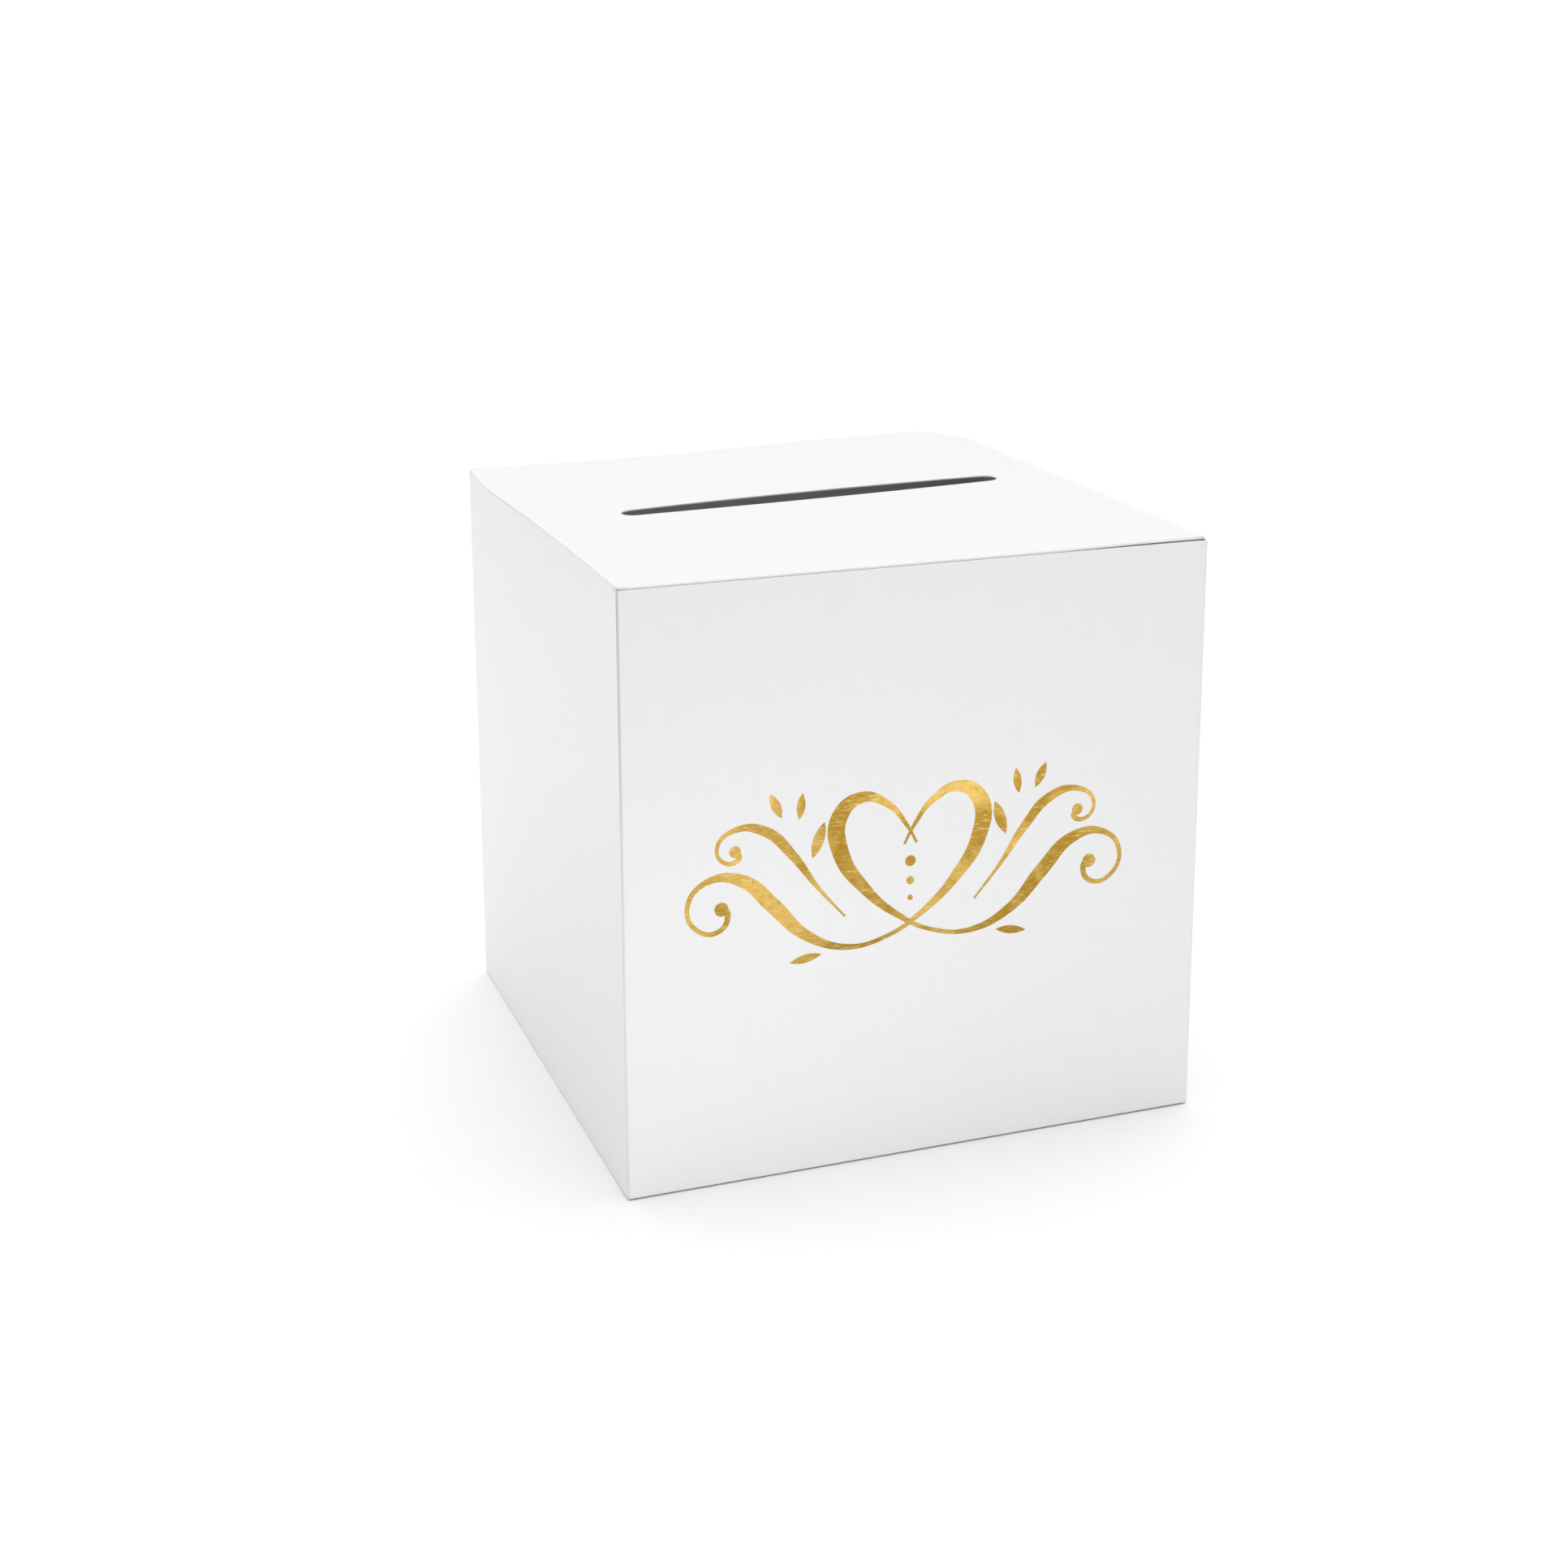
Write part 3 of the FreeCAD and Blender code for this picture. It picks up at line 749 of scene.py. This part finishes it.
def makeSeam():
    low, high = [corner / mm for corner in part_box("side_seam_tab")]
    bm = outline([
        (-seam["half"], 0), (seam["half"], 0),
        (seam["half"] - seam["taper"], seam["width"]), (seam["taper"] - seam["half"], seam["width"]),
    ])
    matrix = placed((high.x, high.y, (low.z + high.z) / 2), upWay, -rearWay)
    boardPiece("side_seam_tab", bm, matrix, "carton")
    low, high = [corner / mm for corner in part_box("seam_glue")]
    bm = outline([(low.y, low.z), (high.y, low.z), (high.y, high.z), (low.y, high.z)],
                 {number: seam["glueCorner"] for number in range(4)})
    gridCut(bm, seam["glueGrid"])
    for vert in bm.verts:  # the bead's edge wanders a little
        beat = math.sin(vert.co.y * seam["wanderBeat"] + 1)
        vert.co.x += seam["wander"] * math.sin(vert.co.y * seam["wanderRate"]) * beat
    bmesh.ops.transform(bm, matrix=placed((high.x, 0, 0), rearWay, upWay), verts=bm.verts)
    bmesh.ops.scale(bm, vec=(mm, mm, mm), verts=bm.verts)
    piece = finishPiece("seam_glue_band", bm, (gluePaste,), "carton", ["seam_glue"])
    solid = piece.modifiers.new("film", "SOLIDIFY")
    solid.thickness = high.x * mm - low.x * mm
    solid.offset = -1


makeUprightFolds()
makeBottomFolds()
makeMovingFolds()
makeLid()
makeTuckFlap()
makeDustFlaps()
makeBottomFlaps()
makeSeam()
print("board pieces made")


foil = {
    "thickness": 0.03,
    "embed": 0.02,  # and it reaches this far into the coating
    "ballLevel": 0.006,
    "ballSegments": 40,
    "leafSegments": 48,
    "centre": (-5.0, 121.0),
    "steps": 14,
    "crossingStep": 0.012,  # a stroke that crosses another lies this much higher
    "heartStroke": [  # x, width and z, from the start of the stroke
        (2.6, 1, 8.6), (-1.2, 1.5, 15.5), (-9.5, 2.8, 25.5), (-20.5, 4.6, 29.4), (-29.3, 6.8, 22.5),
        (-28.8, 6.6, 8.5), (-18.5, 4.4, -7.8), (-4.8, 2.4, -20.2), (9, 1.7, -27.8), (26, 2.3, -30.2),
        (43, 4.2, -23), (56, 6, -9.5), (68.5, 4.8, 2.2), (81.5, 2.6, 3.6), (89.8, 1.9, -4.8),
        (86.6, 1.8, -15), (77.6, 2, -16.8), (74.2, 2.4, -10), (76, 2.6, -8),
    ],
    "sprayStroke": [
        (27, 0.8, -17.5), (38, 1.7, -4.5), (48, 3.6, 9.5), (58.5, 4, 20.2), (70.5, 2.3, 22.6),
        (78, 1.6, 16.6), (75.4, 1.6, 10.2), (69.6, 2.2, 11), (70.4, 2.4, 13.6),
    ],
    "heartBall": (76.6, -8.2, 2.8),  # x, z, radius
    "sprayBall": (71, 13.9, 2.3),
    "drops": [(0, 1.5, 2.2), (0, -6.5, 1.6), (0, -13.5, 1.1)],
    "leaves": [  # start, end, width
        ((40.2, 7.5), (35.2, 21.5), 4.6), ((52.5, 25), (57, 35), 3.8),
        ((45.5, 23.5), (44, 34), 3.4), ((36.5, -31.6), (49.5, -33.6), 3.4),
    ],
}


def addStroke(bm, points, mirrorSign, level=0.0):
    # a ribbon whose width follows each point's radius, drawn flat in the plane of the panel
    curve = bpy.data.curves.new("stroke", "CURVE")
    curve.dimensions = "3D"
    curve.twist_mode = "Z_UP"
    curve.resolution_u = foil["steps"]
    curve.extrude = 0.5  # to both sides, so that a point's radius is the full width
    spline = curve.splines.new("BEZIER")
    spline.bezier_points.add(len(points) - 1)
    spline.radius_interpolation = "CARDINAL"
    for point, (x, width, z) in zip(spline.bezier_points, points):
        point.co = (mirrorSign * x, z, level)
        point.radius = width
        point.tilt = math.pi / 2
        point.handle_left_type = "AUTO"
        point.handle_right_type = "AUTO"
    drawn = bpy.data.objects.new("stroke", curve)
    bpy.context.collection.objects.link(drawn)
    bpy.context.view_layer.update()
    ribbon = bpy.data.meshes.new_from_object(drawn.evaluated_get(bpy.context.evaluated_depsgraph_get()))
    bm.from_mesh(ribbon)
    bpy.data.objects.remove(drawn)
    bpy.data.meshes.remove(ribbon)
    bpy.data.curves.remove(curve)


def addBall(bm, x, z, size, mirrorSign):
    made = bmesh.ops.create_circle(bm, cap_ends=True, segments=foil["ballSegments"], radius=size)
    bmesh.ops.translate(bm, vec=(mirrorSign * x, z, foil["ballLevel"]), verts=made["verts"])


def addLeaf(bm, start, end, width, mirrorSign):
    made = bmesh.ops.create_circle(bm, cap_ends=True, segments=foil["leafSegments"], radius=1)
    start, end = Vector((*start, 0)), Vector((*end, 0))
    for vert in made["verts"]:  # two arcs that meet in a point at each end
        bulge = (1 - vert.co.x ** 2) * width / 2
        vert.co.y = math.copysign(bulge, vert.co.y) if abs(vert.co.y) > 1e-6 else 0
        vert.co.x *= (end - start).length / 2
    turn = Matrix.Rotation(math.atan2(end.y - start.y, end.x - start.x), 4, "Z")
    bmesh.ops.transform(bm, matrix=Matrix.Translation((start + end) / 2) @ turn, verts=made["verts"])
    if mirrorSign < 0:
        bmesh.ops.scale(bm, vec=(-1, 1, 1), verts=made["verts"])


def foilPiece(name, bm):
    low, high = [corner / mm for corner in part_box("front_panel")]
    belly = bowed(wallBow["front"], high.x - low.x, high.z - low.z)
    bm.normal_update()
    backwards = [face for face in bm.faces if face.normal.z < 0]
    if backwards:
        bmesh.ops.reverse_faces(bm, faces=backwards)
    centreX, centreZ = foil["centre"]
    for vert in bm.verts:
        onPanel = (centreX + vert.co.x, centreZ + vert.co.y - low.z)
        vert.co.z += foil["thickness"] + belly(*onPanel)
    bmesh.ops.transform(bm, matrix=placed((centreX, -half, centreZ), rightWay, upWay), verts=bm.verts)
    bmesh.ops.scale(bm, vec=(mm, mm, mm), verts=bm.verts)
    piece = finishPiece(name + "_film", bm, (goldFoil,), "carton", [name], smoothFaces=False)
    solid = piece.modifiers.new("film", "SOLIDIFY")
    solid.thickness = (foil["thickness"] + foil["embed"]) * mm
    solid.offset = -1


def makeFoilDesign():
    bm = bmesh.new()
    for number, sign in enumerate((1, -1)):
        addStroke(bm, foil["heartStroke"], sign, number * foil["crossingStep"])
        addBall(bm, *foil["heartBall"], sign)
    foilPiece("foil_heart_scroll", bm)
    for name, sign in (("foil_left_spray", -1), ("foil_right_spray", 1)):
        bm = bmesh.new()
        addStroke(bm, foil["sprayStroke"], sign)
        addBall(bm, *foil["sprayBall"], sign)
        for start, end, width in foil["leaves"]:
            addLeaf(bm, start, end, width, sign)
        foilPiece(name, bm)
    bm = bmesh.new()
    for x, z, size in foil["drops"]:
        addBall(bm, x, z, size, 1)
    foilPiece("foil_drops", bm)


makeFoilDesign()
print("foil design made")


studio = {
    "floorSize": 60.0,
    "horizon": 1.02,
    "dome": 0.49,
    "horizonBand": (0.01, 0.1),  # heights between which the horizon fades into the dome
    "overhead": 0.68,
    "overheadAngle": 75.0,
    "overheadTilt": (-8.0, 4.0),
    "inside": 0.05,
    "insideSize": 0.08,
    "softboxes": {  # place, size of the square side and power in watts; each faces the box
        "front_near": ((-0.10, -0.33, 0.015), 0.12, 0.11),
        "front_right": ((0.14, -0.42, 0.02), 0.2, 0.1),
        "left_rear": ((-0.40, 0.34, 0.10), 0.2, 0.1),
        "rear_low": ((-0.34, 0.32, 0.03), 0.14, 0.07),
    },
}
view = {
    "place": (-347.8, -937.4, 447.3),
    "azimuth": 20.47,
    "pitch": 13.5,
    "lens": 55.9,
    "sensor": 36.0,
    "shift": (-0.022, -0.132),
    "clip": (0.01, 100.0),
}


def makeFloor():
    material, tree, shader = newMaterial("studio_floor_matt", {"Roughness": 0.9, "Specular IOR Level": 0.0})
    coords = objectCoords(tree)
    paint = noise(tree, coords, 40, 2)
    colour = mixColour(tree, spread(tree, paint, 0, 1), "#F6F6F6", "#F7F7F7")
    tree.links.new(colour, shader.inputs["Base Color"])
    bm = bmesh.new()
    bmesh.ops.create_grid(bm, x_segments=4, y_segments=4, size=studio["floorSize"] / 2)
    mesh = bpy.data.meshes.new("floor")
    bm.to_mesh(mesh)
    bm.free()
    floor = bpy.data.objects.new("floor", mesh)
    bpy.context.collection.objects.link(floor)
    mesh.materials.append(material)


def makeLights():
    world = bpy.data.worlds.new("studio_dome")
    bpy.context.scene.world = world
    world.use_nodes = True
    tree = world.node_tree
    coords = addNode(tree, "ShaderNodeTexCoord").outputs["Generated"]
    height = addNode(tree, "ShaderNodeSeparateXYZ", links={"Vector": coords}).outputs["Z"]
    level = spread(tree, height, studio["horizon"], studio["dome"], *studio["horizonBand"])
    tree.links.new(level, tree.nodes["Background"].inputs["Strength"])
    tree.nodes["Background"].inputs["Color"].default_value = (1, 1, 1, 1)
    sun = bpy.data.lights.new("overhead_softbox", "SUN")
    sun.energy = studio["overhead"] * math.pi
    sun.angle = math.radians(studio["overheadAngle"])
    lamp = bpy.data.objects.new("overhead_softbox", sun)
    bpy.context.collection.objects.link(lamp)
    lamp.rotation_euler = [math.radians(angle) for angle in (*studio["overheadTilt"], 0)]
    glow = bpy.data.lights.new("light_through_board", "POINT")
    glow.energy = studio["inside"]
    glow.shadow_soft_size = studio["insideSize"]
    lamp = bpy.data.objects.new("light_through_board", glow)
    bpy.context.collection.objects.link(lamp)
    aim = Vector((0, 0, half * mm))  # the middle of the box
    lamp.location = aim
    for name, (place, size, power) in studio["softboxes"].items():
        panel = bpy.data.lights.new(name, "AREA")
        panel.energy = power
        panel.size = size
        lamp = bpy.data.objects.new(name, panel)
        bpy.context.collection.objects.link(lamp)
        lamp.location = place
        lamp.rotation_euler = (aim - Vector(place)).to_track_quat("-Z", "Y").to_euler()
        lamp.visible_camera = False


def makeCamera():
    camera = bpy.data.cameras.new("camera")
    camera.lens = view["lens"]
    camera.sensor_width = view["sensor"]
    camera.shift_x, camera.shift_y = view["shift"]
    camera.clip_start, camera.clip_end = view["clip"]
    holder = bpy.data.objects.new("camera", camera)
    bpy.context.collection.objects.link(holder)
    holder.location = Vector(view["place"]) * mm
    a, e = math.radians(view["azimuth"]), math.radians(view["pitch"])
    look = Vector((math.sin(a) * math.cos(e), math.cos(a) * math.cos(e), -math.sin(e)))
    holder.rotation_euler = look.to_track_quat("-Z", "Y").to_euler()
    bpy.context.scene.camera = holder


makeFloor()
makeLights()
makeCamera()
bpy.context.scene.view_settings.view_transform = "Standard"
print("studio made")
